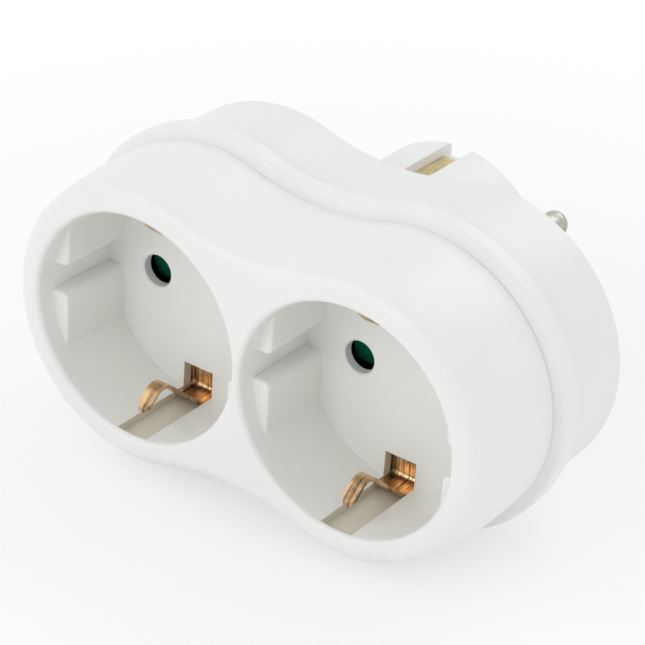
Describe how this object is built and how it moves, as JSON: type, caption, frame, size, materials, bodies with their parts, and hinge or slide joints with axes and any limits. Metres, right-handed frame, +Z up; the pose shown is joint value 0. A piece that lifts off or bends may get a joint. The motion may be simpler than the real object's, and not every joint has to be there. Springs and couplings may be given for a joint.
{
  "type": "multi socket adapter",
  "caption": "White plug-in adapter with a figure-eight housing: round recessed earthed sockets side by side in front, a round earthed plug with pins behind.",
  "frame": {"origin": "centre of the plug's end face, which meets the floor of a wall socket", "axes": "+X along the two sockets, +Y the way the plug's pins point, +Z up"},
  "size_m": [0.0952, 0.0797, 0.0544],
  "materials": {
    "front_white": "satin gloss",
    "rear_white": "satin gloss",
    "inner_plastic": "matte",
    "shutter_green": "glossy",
    "spring_steel": "bright",
    "earth_copper": "polished copper",
    "inner_brass": "polished",
    "pin_nickel": "nickel plated",
    "screw_steel": "zinc plated"
  },
  "bodies": {
    "housing": {"front_cover": "front_white", "left_socket": "front_white", "right_socket": "front_white", "rear_housing": "rear_white", "contact_carrier": "inner_plastic", "left_shutter_spring": "spring_steel", "right_shutter_spring": "spring_steel", "left_shutter_retainer": "spring_steel", "right_shutter_retainer": "spring_steel", "left_earth_stirrup": "earth_copper", "right_earth_stirrup": "earth_copper", "earth_link": "inner_brass", "plug_earth_bracket": "inner_brass", "earth_rivets": "inner_brass", "live_bar": "inner_brass", "neutral_bar": "inner_brass", "left_outer_contact": "inner_brass", "left_inner_contact": "inner_brass", "right_inner_contact": "inner_brass", "right_outer_contact": "inner_brass", "left_plug_pin": "pin_nickel", "right_plug_pin": "pin_nickel", "housing_screws": "screw_steel"},
    "left_shutter": {"left_shutter": "shutter_green"},
    "right_shutter": {"right_shutter": "shutter_green"}
  },
  "joints": [
    {"name": "left_shutter_turn", "type": "hinge", "parent": "housing", "child": "left_shutter", "pos_m": [-0.02035, -0.038, 0], "axis": [0, 1, 0], "range_deg": [0, 42], "stiffness_Nm_per_rad": 0.002, "springref_deg": -28.65, "deforming": ["left_shutter_spring"]},
    {"name": "right_shutter_turn", "type": "hinge", "parent": "housing", "child": "right_shutter", "pos_m": [0.02035, -0.038, 0], "axis": [0, 1, 0], "range_deg": [0, 42], "stiffness_Nm_per_rad": 0.002, "springref_deg": -28.65, "deforming": ["right_shutter_spring"]}
  ]
}
